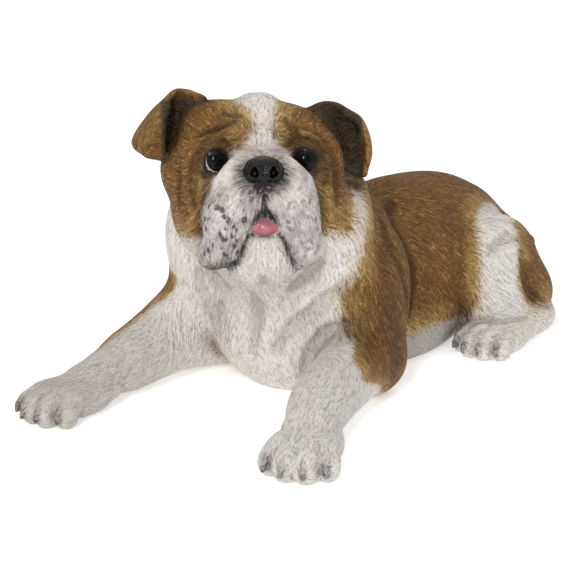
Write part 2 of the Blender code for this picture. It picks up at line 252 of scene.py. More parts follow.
def hind_leg(clay, side):
    """Thigh and knee folded beside the belly, hock, and the long foot flat on the floor."""
    clay.lump(REAR, (side * 54 + 2, 1, 51), (33, 53, 50), 7)
    clay.lump(REAR, (side * 60 + 2, -30, 30), (29, 34, 30), 14)
    clay.lump(REAR, (side * 70 + 2, 14, 26), (24, 34, 27), 10)
    clay.stroke(REAR, [(side * 86, -26, 16, 15.5), (side * 91, 5, 15, 15), (side * 92, 36, 14, 15)], 7)
    paw(clay, REAR.turned((side * 93, 46, 0), yaw=side * 2), 0.93)


def skull(clay):
    """Broad flat crown with a furrow, brows, cheeks and jaw."""
    clay.lump(HEAD, (0, -12, 8), (52, 52, 45), 0)
    clay.lump(HEAD, (-31, -9, 25), (26, 36, 27), 10)
    clay.lump(HEAD, (26, -7, 19), (22.5, 36, 26), 10)
    for side in (-1, 1):
        clay.lump(HEAD, (side * 5, 2, 30), (15.5, 27, 26.5), 6)
        clay.lump(HEAD, (side * 15, 20, 23), (15, 18, 18), 7)
        clay.lump(HEAD, (side * 37.5, 11, 13), (20, 23.5, 20.5), 7)
        clay.lump(HEAD, (side * 40, -2, -18), (22.5, 35, 38), 14)
    clay.lump(HEAD, (-58, -6, 3), (11, 18, 18), 8)
    clay.lump(HEAD, (0, -2, -40), (48, 38, 34), 14)
    clay.lump(HEAD, (0, 10, -10), (40, 28, 32), 10)
    furrow = [(0, 42, 20, 1.5), (0, 42, 32, 1.8), (0, 34, 49, 1.4), (0, 18, 59, 0.6), (0, -12, 63, 0.3)]
    clay.stroke(HEAD, furrow, 5, True)


def muzzle_pads(clay):
    """Domed top of the muzzle, two broad pads and the lips that hang from them."""
    clay.lump(HEAD, (2, 41, -12.5), (34.5, 21.5, 31), 0)
    clay.lump(HEAD, (-18.5, 41.5, 1.5), (13.5, 14, 13.5), 6)
    clay.lump(HEAD, (20, 41.5, 0.5), (13, 14, 13), 6)
    clay.lump(HEAD, (-17, 44, -20), (18.5, 20.5, 19), 8)
    clay.lump(HEAD, (19, 44, -20), (18.5, 20.5, 19), 8)
    clay.lump(HEAD, (-26, 42, -38), (14, 20.5, 23), 8, roll=-12)
    clay.lump(HEAD, (27.5, 41, -40.5), (13.5, 19.5, 24), 8, roll=2)
    clay.lump(HEAD, (-33.5, 37, -53), (11.5, 16.5, 11), 6)


MOUTH = ((0.6, 69, -20, 0.8), (0.8, 66, -25, 3.2), (1.2, 63, -31, 6.8), (1.4, 60, -40, 9), (-1, 56, -54, 13))


def muzzle(clay):
    """The pads, with the groove under the nose, the mouth, chin and tongue between the lips."""
    pads = clay.fresh()
    muzzle_pads(pads)
    pads.stroke(HEAD, [(0.5, 68, -6, 1.5), (0.5, 67.5, -26, 2)], 4, True)
    pads.stroke(HEAD, MOUTH, 3, True)
    clay.take(pads, 1.5)
    chin(clay)
    tongue(clay)


def chin(clay):
    """Chin and lower lip."""
    clay.lump(HEAD, (1, 35.5, -56), (27, 22, 20), 2)
    clay.lump(HEAD, (1, 47, -44), (15, 11, 7.5), 5)


def tongue(clay):
    """Tip of the tongue, sloping forward over the lower lip."""
    clay.lump(HEAD, (1.5, 48, -29.5), (12, 14, 7), 1, pitch=-30)


def nose_pad(clay):
    """Nose pad with a wing each side of its column."""
    clay.lump(HEAD, (0.8, 54, 7.5), (10.5, 10.5, 6), 3)
    clay.lump(HEAD, (0.8, 58, 1.5), (4.5, 8.5, 7.5), 3)
    for side in (-1, 1):
        clay.lump(HEAD, (side * 6.6 + 0.8, 56.5, 3.5), (6.4, 9.5, 7.4), 2)


def nose(clay):
    """The nose pad, with a raised rim round each of its two deep nostrils."""
    nose_pad(clay)
    for side in (-1, 1):
        turn = np.linspace(0, 2 * math.pi, 9)
        ring = np.stack([side * (6.4 + 3.6 * np.cos(turn)) + 0.8, 64.3 - 1.6 * np.cos(turn) * 1.2,
                         3.6 + 4.9 * np.sin(turn), 1.45 + 0 * turn], 1)
        clay.stroke(HEAD, ring, 0.8)
        clay.lump(HEAD, (side * 6.4 + 0.8, 66, 3.6), (2.7, 8, 4), 0.8, True)
        clay.stroke(HEAD, [(side * 9 + 0.8, 66, 0, 1.2), (side * 12.5 + 0.8, 62, -1, 0.9)], 1, True)


def rim(start, end, radius, front, tube, side):
    """Rows of an eyelid: an arc about the eyeball that drops back towards its corners."""
    angles = np.radians(np.linspace(start, end, 9))
    back = front - 0.4 * np.abs(angles - math.pi / 2)
    return np.stack([side * radius * np.cos(angles), back, radius * np.sin(angles), tube + 0 * angles], 1)


def eye_frame(side):
    """Frame of an eye: its origin is the eyeball's centre, and its front looks out of the socket."""
    return HEAD.turned((side * 31.2, 26.8, 10.5), yaw=-side * 10)


def eye(clay, side):
    """Socket, eyeball, three lid rings and the brow over them, higher at its inner end."""
    place = eye_frame(side)
    clay.lump(place, (0, 13, 0), (11, 10, 10.5), 4, True)
    clay.lump(place, (0, 0, 0), (9.8, 9.8, 9.8), 0.3)
    clay.stroke(place, rim(-12, 192, 9.4, 4.8, 1.8, side), 1.8)
    clay.stroke(place, rim(-190, 10, 9.0, 3.8, 1.3, side), 1.8)
    clay.stroke(place, rim(20, 168, 13.2, 4.6, 1.2, side), 1.6)
    brow = ((13, 36, 32, 3), (22, 37, 29, 3), (33, 34, 26, 3), (43, 27, 18, 3), (48, 21, 4, 2.5))
    clay.stroke(HEAD, [(side * a, f, u, r) for a, f, u, r in brow], 8)


RIGHT_EAR = (
    ((-38, -2, 53), (-48, -10, 57), (-57, -9, 57.5), (-63, -4, 52), (-63, 1, 48)),
    ((-44, -2, 44), (-54, -16, 46), (-66, -16, 45), (-75, -9, 41), (-65, 4, 42)),
    ((-48, -2, 30), (-59, -16, 30), (-74, -14, 28), (-86.5, -7, 23), (-67, 6, 28)),
    ((-54, 0, 16), (-61, -10, 15), (-70, -9, 14), (-78, -3, 14), (-67, 7, 12)),
)
LEFT_EAR = (
    ((37, -2, 44), (46, -8, 47.5), (55, -10, 47.5), (62, -9, 44), (63, -4, 41.5)),
    ((46, 0, 34), (56, -16, 35.5), (66, -18, 36.5), (74, -12, 35.5), (73, -3, 34.5)),
    ((55, 0, 19), (63, -16, 19), (73, -17, 18), (80, -11, 16), (78, -2, 17)),
    ((62, -3, 4), (67, -8, 1), (72, -9, -2), (76, -8, -2), (76, -4, -1)),
)
EAR_HALF = 2.5


def statue(clay):
    """The whole dog, in the order its masses are blended."""
    torso(clay)
    right_arm(clay)
    left_arm(clay)
    collar(clay)
    for side in (-1, 1):
        hind_leg(clay, side)
    top = clay.fresh()
    skull(top)
    muzzle(top)
    nose(top)
    for side in (-1, 1):
        eye(top, side)
    clay.take(top, 10)
    clay.sheet(HEAD, RIGHT_EAR, EAR_HALF)
    clay.sheet(HEAD, LEFT_EAR, EAR_HALF)


def bare(points):
    """Distance of each point from the statue before its skin is creased."""
    clay = Clay(points)
    statue(clay)
    return clay.distance


def laid(points):
    """Places settled on the statue's surface, down the distance's slope."""
    for _ in range(4):
        slope = slope_of(bare, points)
        points = points - bare(points)[:, None] * slope / np.maximum((slope**2).sum(1), 0.3)[:, None]
    return points


def sided(side, rows, shift=0):
    """Rows of (left, front, up, radius) with their left values turned to a side, and shifted."""
    return [(side * left + shift, front, up, radius) for left, front, up, radius in rows]


def body_creases():
    """Creases of the chest, shoulders, flanks and thighs: (frame, rows, softness)."""
    creases = [
        (FORE, ((2, 87, 84, 0.3), (1, 80, 70, 2.4), (-2, 78, 58, 2), (-4, 77, 46, 1.7),
                (-8, 74, 34, 0.3)), 6),
        (FORE, ((66, 62, 98, 0.3), (54, 71, 83, 2.6), (40, 72, 69, 2.8), (29, 73, 60, 2.6), (20, 74, 50, 2),
                (12, 75, 39, 0.3)), 8),
        (FORE, ((56, 57, 61, 0.3), (51, 59, 58, 1.4), (44, 62, 51, 2), (38, 65, 40, 2.2), (32, 63, 27, 2),
                (27, 59, 16, 1)), 6),
        (FORE, ((52, 78, 110, 1), (41, 81, 99, 2.4), (30, 82, 88, 0.6)), 6),
        (FORE, ((-38, 70, 66, 0.3), (-35, 70, 57, 1.8), (-33, 71, 48, 1.8), (-33, 70, 37, 0.3)), 5),
        (FORE, ((-60, 62, 88, 0.3), (-52, 68, 72, 2.2), (-46, 70, 58, 2.4), (-44, 68, 42, 1)), 7),
        (FORE, ((-50, 44, 118, 0.3), (-46, 62, 104, 2.4), (-36, 74, 92, 2), (-24, 80, 84, 0.3)), 7),
    ]
    for side in (-1, 1):
        flank = ((34, -71, 128, 0.3), (44, -49, 121, 1.8), (51, -44, 112, 3), (57, -45, 100, 3.8),
                 (60, -47, 90, 4), (62, -49, 78, 3.8), (62, -50, 64, 3), (60, -48, 48, 1.5))
        shoulder = ((66, 6, 132, 0.3), (74, 16, 120, 2), (80, 16, 106, 2.8), (84, 12, 92, 2.8),
                    (85, 6, 78, 2), (84, 0, 66, 0.3))
        creases.append((FORE, sided(side, flank), 8))
        creases.append((FORE, sided(side, shoulder), 8))
        thigh = ((75, 32, 77, 0.3), (76, 26, 83, 2), (77, 16, 87, 2.6), (78, 6, 88, 2.4), (80, -4, 85, 0.3))
        foot = ((76, 56, 22, 1), (83, 50, 26, 2.2), (96, 46, 27, 2.2), (101, 34, 27, 1.6), (104, 14, 27, 1))
        hock = ((86, 0, 74, 0.3), (88, -2, 56, 2), (91, -8, 40, 2.4), (98, -26, 27, 1.4))
        for rows, soft in ((thigh, 7), (foot, 4), (hock, 7)):
            creases.append((REAR, sided(side, rows, 2), soft))
    return creases


def face_creases():
    """Wrinkles of the brows, eyelids, cheeks and chin: (frame, rows, softness)."""
    creases = [
        (HEAD, ((-45, 30, 12, 0.3), (-39, 37, 21, 1.7), (-34, 40, 26.5, 2), (-28, 41, 30, 1.8),
                (-22, 42, 31, 0.3)), 4),
        (HEAD, ((-40, 28, 27, 0.3), (-33, 31, 33, 1.4), (-25, 33, 37, 1.5), (-18, 32, 42, 0.3)), 4),
        (HEAD, ((-25, 24, 49, 0.3), (-20, 26, 46, 1.2), (-13, 30, 44, 0.3)), 4),
        (HEAD, ((18, 30, 41, 0.3), (21, 34, 36, 1.8), (23.5, 40, 30, 2.2), (24, 40, 24, 2.2),
                (22, 38, 18, 1.8)), 4),
        (HEAD, ((31, 36, 25, 0.3), (38, 35, 20, 1.8), (43, 33, 12, 2.2), (45, 31, 4, 2.2),
                (43, 31, -5, 0.6)), 5),
        (HEAD, ((41, 30, 30, 0.3), (48, 30, 20, 1.8), (52, 27, 7, 2.2), (54, 25, -8, 2),
                (53, 24, -22, 0.3)), 5),
        (HEAD, ((-42, 34, 12, 0.3), (-46, 33, 6, 1.8), (-47, 31, -6, 2), (-45, 32, -20, 0.3)), 5),
        (HEAD, ((-54, 22, 8, 0.3), (-56, 20, -6, 1.8), (-54, 20, -20, 0.3)), 5),
        (HEAD, ((0, 56, -72, 0.3), (1, 52, -76, 2), (1, 44, -80, 1)), 5),
    ]
    for side in (-1, 1):
        lid = ((20, 36, 20, 0.3), (25, 38, 23.5, 1), (32, 39, 24.5, 1.1), (39, 36, 21, 1), (43, 33, 15, 0.3))
        under = ((27, 38, -2, 0.3), (34, 38, -1.5, 1), (41, 35, 2, 1), (44, 32, 8, 0.3))
        creases.append((HEAD, sided(side, lid), 2.5))
        creases.append((HEAD, sided(side, under), 2.5))
    return creases


def laid_creases():
    """Every crease, splined, with its places settled on the surface."""
    creases = []
    for frame, rows, soft in body_creases() + face_creases():
        length = np.linalg.norm(np.diff(np.asarray(rows, float)[:, :3], axis=0), axis=1).sum()
        curve = spline(rows, int(np.clip(length / 4, 4, 24)))
        creases.append((frame.points(curve[:, :3]), curve[:, 3], soft))
    places = laid(np.concatenate([points for points, _, _ in creases]))
    ends = np.cumsum([len(points) for points, _, _ in creases])[:-1]
    return [(np.column_stack([points, radii]), soft)
            for points, (_, radii, soft) in zip(np.split(places, ends), creases)]


def crease(clay, rows, soft):
    """Cuts a tapering tube along settled rows: least distance to its segments, less the radius there,
    worked out only close to each segment."""
    centres, radii = rows[:, :3].astype(np.float32), rows[:, 3]
    reach = radii.max() + soft + 1
    index = clay.near(centres.min(0) - reach, centres.max(0) + reach)
    index = index[np.abs(clay.distance[index]) < reach]
    points = clay.points[index]
    least = np.full(len(index), 1e3, np.float32)
    for step in range(len(rows) - 1):
        along = centres[step + 1] - centres[step]
        t = np.clip((points - centres[step]) @ along / max(float(along @ along), 1e-9), 0, 1)
        gap = np.linalg.norm(points - centres[step] - t[:, None] * along, axis=1)
        least = np.minimum(least, gap - radii[step] - (radii[step + 1] - radii[step]) * t)
    clay.put(index, least, soft, True)


def shape(points):
    """Distance of each point from the statue, its skin creased, cut flat at the floor."""
    clay = Clay(points)
    statue(clay)
    for rows, soft in CREASES:
        crease(clay, rows, soft)
    return np.maximum(clay.distance, -clay.points[:, 2])


def grid_points(low, cell, index):
    """Places of grid points, from their whole-number indices."""
    return (np.asarray(low) + index * cell).astype(np.float32)


def distance_grid(low, high, cell, coarse=4):
    """Distances on a grid: trilinear from a coarse grid, and exact within reach of the surface."""
    big = cell * coarse
    count = np.ceil((np.array(high) - low) / big).astype(int) + 1
    index = np.stack(np.meshgrid(*(np.arange(n) for n in count), indexing="ij"), -1).reshape(-1, 3)
    values = shape(grid_points(low, big, index)).reshape(count)
    for axis in range(3):
        place = np.arange((count[axis] - 1) * coarse + 1) / coarse
        step = np.minimum(place.astype(int), count[axis] - 2)
        t = (place - step).astype(np.float32).reshape([-1 if k == axis else 1 for k in range(3)])
        values = np.take(values, step, axis) * (1 - t) + np.take(values, step + 1, axis) * t
    band = np.abs(values) < big * 0.9 + 2
    values[band] = shape(grid_points(low, cell, np.argwhere(band)))
    return values


def skin(values, low, cell):
    """Surface net: a point in each cell that the surface crosses, at the mean of its crossings, and
    a quad round each grid edge that it crosses."""
    inside = values < 0
    size = np.array(values.shape) - 1
    corners = [(i, j, k) for i in (0, 1) for j in (0, 1) for k in (0, 1)]
    window = [tuple(slice(c[a], size[a] + c[a]) for a in range(3)) for c in corners]
    total = sum(inside[w].astype(np.int8) for w in window)
    cells = np.argwhere((total > 0) & (total < 8))
    number = np.full(size, -1)
    number[tuple(cells.T)] = np.arange(len(cells))
    amount = [values[tuple((cells + c).T)] for c in corners]
    place = np.zeros((len(cells), 3))
    hits = np.zeros(len(cells))
    for a, first in enumerate(corners):
        for b, second in enumerate(corners):
            if sum(second) - sum(first) != 1 or np.abs(np.subtract(second, first)).sum() != 1:
                continue
            cross = (amount[a] < 0) != (amount[b] < 0)
            t = np.where(cross, amount[a] / np.where(cross, amount[a] - amount[b], 1), 0)
            place += cross[:, None] * (np.array(first) + t[:, None] * np.subtract(second, first))
            hits += cross
    points = low + cell * (cells + place / hits[:, None])
    quads = []
    for axis in range(3):
        u, v = (axis + 1) % 3, (axis + 2) % 3
        here = [slice(1, n) for n in size]
        here[axis] = slice(0, size[axis])
        ahead = list(here)
        ahead[axis] = slice(1, size[axis] + 1)
        a, b = inside[tuple(here)], inside[tuple(ahead)]
        edge = np.argwhere(a != b)
        out = a[tuple(edge.T)]
        for k in range(3):
            edge[:, k] += 0 if k == axis else 1
        ring = []
        for du, dv in ((1, 1), (0, 1), (0, 0), (1, 0)):
            at = edge.copy()
            at[:, u] -= du
            at[:, v] -= dv
            ring.append(number[tuple(at.T)])
        ring = np.stack(ring, 1)
        ring[~out] = ring[~out, ::-1]
        quads.append(ring)
    return points.astype(np.float32), np.concatenate(quads)


def slope_of(function, points, step=0.5):
    """Gradient of a distance function by central differences."""
    parts = []
    for axis in np.eye(3, dtype=np.float32):
        parts.append(function(points + step * axis) - function(points - step * axis))
    return np.stack(parts, 1) / (2 * step)


def unit(vectors):
    """The vectors at length 1."""
    return vectors / np.maximum(np.linalg.norm(vectors, axis=1), 1e-6)[:, None]


def ramp(values, start, end):
    """Smooth step from 0 at start to 1 at end."""
    t = np.clip((values - start) / (end - start), 0, 1)
    return t * t * (3 - 2 * t)


CREASES = laid_creases()


def brown_edge(points):
    """Distance from the edge of the brown coat, below zero inside it."""
    brown = Clay(points)
    # saddle over the back, flanks, shoulders and upper arms, behind the white collar and chest
    fore = (points - FORE.origin) @ FORE.axes
    left, front, up = fore.T
    heights = (4, 12, 20, 34, 50, 62, 76, 90, 106, 118, 128, 140, 152, 163, 175)
    fronts = (20, 34, 46, 56, 52, 50, 55, 59, 57, 52, 46, 39, 32, 20, 4)
    edge = np.interp(up, heights, fronts) + 26 * ramp(-left, 68, 90) * ramp(up, 98, 74)
    edge = edge + 12 * (1 - ramp(np.abs(left), 20, 58)) * ramp(up, 70, 100)
    edge = edge - 30 * ramp(-left, 44, 66) * ramp(up, 78, 94)
    edge = edge + 9 * ramp(left, 50, 64) * ramp(up, 100, 84)
    edge = edge + 24 * ramp(left, 68, 86) * ramp(up, 60, 48) * ramp(up, 18, 36)
    brown.distance = ((front - edge) * 0.8).astype(np.float32)
    # belly margin, thighs and hind feet
    brown.lump(DRAWING, (0, -115, -8), (110, 120, 43), 8, True)
    for side in (-1, 1):
        thigh = ((44, -30, 98, 12), (60, 3, 93, 18), (75, 17, 80, 20), (83, 25, 61, 19), (88, 26, 40, 21),
                 (88, 26, 22, 26))
        brown.stroke(REAR, sided(side, thigh), 6, True)
        brown.stroke(REAR, [(side * 92, -34, 4, 22), (side * 96, 70, 4, 30)], 8, True)
    # fringe along the back of the right foreleg
    fringe = [(-88, 40, 80, 13), (-98, 64, 68, 10), (-103, 90, 54, 8), (-108, 120, 40, 6), (-111, 140, 31, 3)]
    brown.stroke(FORE, fringe, 6)
    # head: brown over the cheeks, white blaze, muzzle and jaw
    face = brown.fresh()
    face.lump(HEAD, (0, -6, 6), (94, 68, 72), 0)
    face.lump(HEAD, (-14, 0, -68), (84, 74, 30), 6, True)
    face.lump(HEAD, (50, 34, -68), (34, 40, 29), 6, True)
    blaze = [(4, -60, 50, 12), (2, -20, 66, 20), (-1, 8, 62, 19), (1.5, 22, 52, 13), (3, 29, 43, 9.5),
             (2.5, 34, 34, 7.5), (1.5, 38, 25, 9.5), (1, 40, 17, 13)]
    scruff = ((28, -4, 158, 9), (46, 14, 156, 12), (58, 31, 144, 14), (63, 43, 127, 14), (62, 51, 110, 14))
    face.stroke(FORE, scruff, 4, True)
    face.stroke(HEAD, blaze, 4, True)
    pads = face.fresh()
    muzzle_pads(pads)
    face.distance = -blend(-face.distance, pads.distance - 1.5, 1)
    ears = face.fresh()
    ears.sheet(HEAD, RIGHT_EAR, 13)
    ears.sheet(HEAD, LEFT_EAR, 13)
    face.take(ears, 2)
    brown.take(face, 2)
    return brown.distance


def claw_paint_and_toe_shade(points):
    """Dark paint round the claws and painted shade in the gaps between the toes, 0 to 1."""
    claws, gaps = Clay(points), Clay(points)
    paws = ((FORE.turned((-100, 178, 0), yaw=-10), 0.98), (FORE.turned((99, 180, 0), yaw=14), 0.98),
            (REAR.turned((93, 46, 0), yaw=2), 0.93), (REAR.turned((-93, 46, 0), yaw=-2), 0.93))
    for frame, size in paws:
        for left, front, yaw in ((-18, 10, -12), (-6.5, 17, -3), (6.5, 17, 3), (18, 10, 12)):
            toe = frame.turned((left * size, front * size, 0), yaw=yaw)
            rows = ((9, 17.5, 0.6), (15, 13.5, 1.6), (18, 7, 0.9))
            claws.stroke(toe, [(0, f * size, u * size, r * size) for f, u, r in rows], 1)
        for left, front in ((-12.2, 10), (0, 14), (12.2, 10)):
            rows = ((-6, 22), (8, 19), (14, 12), (15, 6))
            gaps.stroke(frame, [(left * size, (front + f) * size, u * size, 0.4) for f, u in rows], 1)
    return 0.62 * ramp(claws.distance, 2.6, 0.3) + 0.42 * ramp(gaps.distance, 2.6, 0.8)


def greyed_and_shaded(points):
    """Where the white paint is darkened: greyer down the forelegs and paws, the right more than the left,
    darker along the belly's lower edge, and a painted shadow on the collar under the left cheek.
    """
    left, front, up = ((points - FORE.origin) @ FORE.axes).T
    legs = ramp(front, 60, 112) * np.where(left < 0, 0.40, 0.24)
    paws = ramp(front, 150, 175) * np.where(left < 0, 0.10, -0.06)
    belly = ramp(front, 10, -20) * ramp(front, -150, -120) * ramp(up, 34, 24)
    belly = belly * ramp(np.abs(left), 82, 70) * 0.66
    # painted shadow of the head on the collar's roll
    under = Clay(points)
    under.stroke(FORE, [(44, 12, 156, 2), (56, 32, 145, 2), (61, 44, 128, 2), (60, 50, 112, 2)], 1)
    return np.clip(legs + paws + belly + 0.5 * ramp(under.distance, 15, 4), 0, 1)


def hair_flow(points, normals):
    """Unit direction of the hair: back along the body, down the limbs and chest, and out and down
    from the nose over the head, each laid into the surface."""
    down = np.array([0, 0, -1.0])
    back = np.tile(np.array([0, 1.0, 0]), (len(points), 1))
    flow = back + 0.9 * down
    fore = (points - FORE.origin) @ FORE.axes
    arm = ramp(fore[:, 1], 60, 110) * ramp(fore[:, 2], 70, 40)
    side = np.sign(fore[:, 0])[:, None]
    along = FORE.axes[:, 1] + 0.25 * side * FORE.axes[:, 0]
    flow = flow * (1 - arm[:, None]) + arm[:, None] * (along - 0.2 * (-down))
    chest = ramp(fore[:, 1], 20, 60) * (1 - arm)
    flow = flow * (1 - chest[:, None]) + chest[:, None] * (down + 0.25 * side * FORE.axes[:, 0])
    local = (points - HEAD.origin) @ HEAD.axes
    near = ramp(np.linalg.norm(local / np.array([70, 72, 74]), axis=1), 1.25, 0.95)[:, None]
    away = local - np.array([0, 62, 0])
    away[:, 2] += 10
    muzzle = ramp(local[:, 1], 22, 40)[:, None]
    away = unit(away) + muzzle * np.array([0, 0, -0.9])
    flow = flow * (1 - near) + near * (unit(away) @ HEAD.axes.T) * 1.4
    flow = flow - (flow * normals).sum(1)[:, None] * normals
    return unit(flow)


class Value:
    """A number socket; operators on it add Math nodes."""

    def __init__(self, maker, socket):
        self.maker = maker
        self.socket = socket

    def calc(self, operation, *others):
        others = [other.socket if isinstance(other, Value) else other for other in others]
        node = self.maker.node("ShaderNodeMath", {"operation": operation}, [self.socket, *others])
        return Value(self.maker, node.outputs[0])

    def __add__(self, other):
        return self.calc("ADD", other)

    __radd__ = __add__

    def __sub__(self, other):
        return self.calc("SUBTRACT", other)

    def __rsub__(self, other):
        return (self * -1.0) + other

    def __mul__(self, other):
        return self.calc("MULTIPLY", other)

    __rmul__ = __mul__

    def __truediv__(self, other):
        return self.calc("DIVIDE", other)

    def clamp(self):
        return self.calc("MAXIMUM", 0.0).calc("MINIMUM", 1.0)

    def ramp(self, start, end):
        """Smooth step from 0 at start to 1 at end."""
        t = ((self - start) * (1.0 / (end - start))).clamp()
        return t * t * (3.0 - 2.0 * t)


class Maker:
    """Builds one material's node tree."""

    def __init__(self, name):
        self.material = bpy.data.materials.new(name)
        self.material.use_nodes = True
        self.tree = self.material.node_tree
        self.shader = self.tree.nodes["Principled BSDF"]

    def node(self, kind, settings=None, inputs=()):
        """Adds a node: its settings first, then values or links for its sockets."""
        node = self.tree.nodes.new(kind)
        for name, value in (settings or {}).items():
            setattr(node, name, value)
        pairs = inputs.items() if isinstance(inputs, dict) else enumerate(inputs)
        for key, value in pairs:
            self.put(node.inputs[key], value)
        return node

    def put(self, socket, value):
        if isinstance(value, Value):
            value = value.socket
        if isinstance(value, bpy.types.NodeSocket):
            self.tree.links.new(value, socket)
        else:
            socket.default_value = value

    def value(self, socket):
        return Value(self, socket)

    def attribute(self, name):
        node = self.node("ShaderNodeAttribute", {"attribute_type": "GEOMETRY", "attribute_name": name})
        return node

    def noise(self, vector, scale, detail=2.0, rough=0.5):
        node = self.node("ShaderNodeTexNoise", {"noise_dimensions": "3D"},
                         {"Vector": vector, "Scale": scale, "Detail": detail, "Roughness": rough})
        return self.value(node.outputs["Fac"])

    def mix(self, factor, a, b):
        """Mixes two colours, each a tuple or a link."""
        node = self.node("ShaderNodeMix", {"data_type": "RGBA"})
        self.put(node.inputs[0], factor)
        self.put(node.inputs[6], a if not isinstance(a, tuple) else (*a, 1.0))
        self.put(node.inputs[7], b if not isinstance(b, tuple) else (*b, 1.0))
        return node.outputs[2]

    def vector(self, operation, a, b=None, scale=None):
        node = self.node("ShaderNodeVectorMath", {"operation": operation})
        self.put(node.inputs[0], a)
        if b is not None:
            self.put(node.inputs[1], b)
        if scale is not None:
            self.put(node.inputs[3], scale)
        return node.outputs[0]


def combed(m, place, flow, scale, step, count, gain):
    """Strokes along the hair: the mean of one noise at even places along its flow, its spread made good."""
    total = None
    for k in range(count):
        at = m.vector("ADD", place, m.vector("SCALE", flow, scale=(k - (count - 1) / 2) * step))
        tap = m.noise(at, scale, 1.0, 0.5)
        total = tap if total is None else total + tap
    return (((total / float(count)) - 0.5) * gain + 0.5).clamp()


